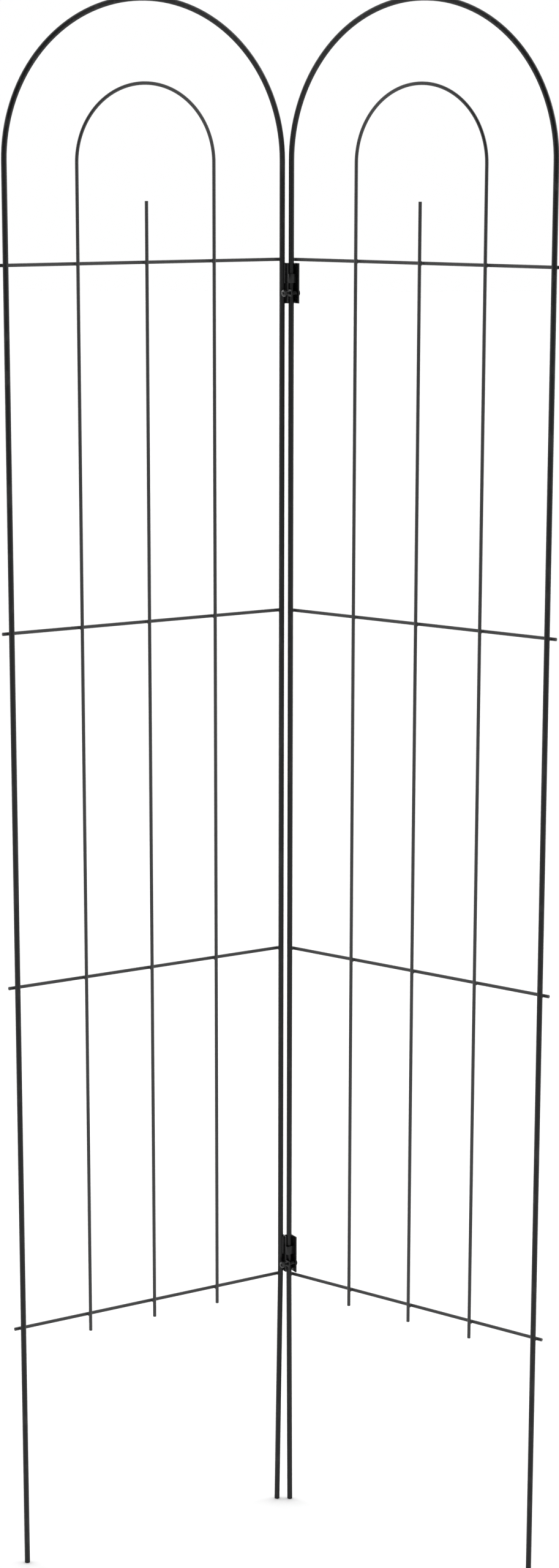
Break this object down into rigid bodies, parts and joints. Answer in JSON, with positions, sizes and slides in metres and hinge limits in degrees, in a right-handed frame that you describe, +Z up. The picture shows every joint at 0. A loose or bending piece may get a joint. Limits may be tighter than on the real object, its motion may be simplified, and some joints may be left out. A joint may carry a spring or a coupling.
{
  "type": "folding trellis screen",
  "caption": "Folding garden trellis of two hinged wire panels with round arched tops and crossbars, standing in a V on its leg ends.",
  "frame": {"origin": "on the ground, under the centre of the whole screen's box as it stands open", "axes": "+Z up, +X across the screen from the left panel to the right one, and the open side of the V faces -Y"},
  "size_m": [0.6236, 0.2056, 1.829],
  "materials": {
    "powder_coat": "satin black powder coat with fine orange peel",
    "hinge_coat": "satin black powder coat on bent sheet steel",
    "fastener": "black coated steel, slightly shinier"
  },
  "bodies": {
    "left_panel": {"left_outer_frame": "powder_coat", "left_inner_arch": "powder_coat", "left_centre_rod": "powder_coat", "left_crossbar_1": "powder_coat", "left_crossbar_2": "powder_coat", "left_crossbar_3": "powder_coat", "left_crossbar_4": "powder_coat", "lower_hinge_bracket": "hinge_coat", "lower_hinge_bolt": "fastener", "lower_hinge_nut": "fastener", "upper_hinge_bracket": "hinge_coat", "upper_hinge_bolt": "fastener", "upper_hinge_nut": "fastener"},
    "right_panel": {"right_outer_frame": "powder_coat", "right_inner_arch": "powder_coat", "right_centre_rod": "powder_coat", "right_crossbar_1": "powder_coat", "right_crossbar_2": "powder_coat", "right_crossbar_3": "powder_coat", "right_crossbar_4": "powder_coat"}
  },
  "joints": [
    {"name": "panel_fold", "type": "hinge", "parent": "left_panel", "child": "right_panel", "pos_m": [0.00531, 0.09441, 0], "axis": [0, 0, -1], "range_deg": [-66.7, 113.3]}
  ]
}
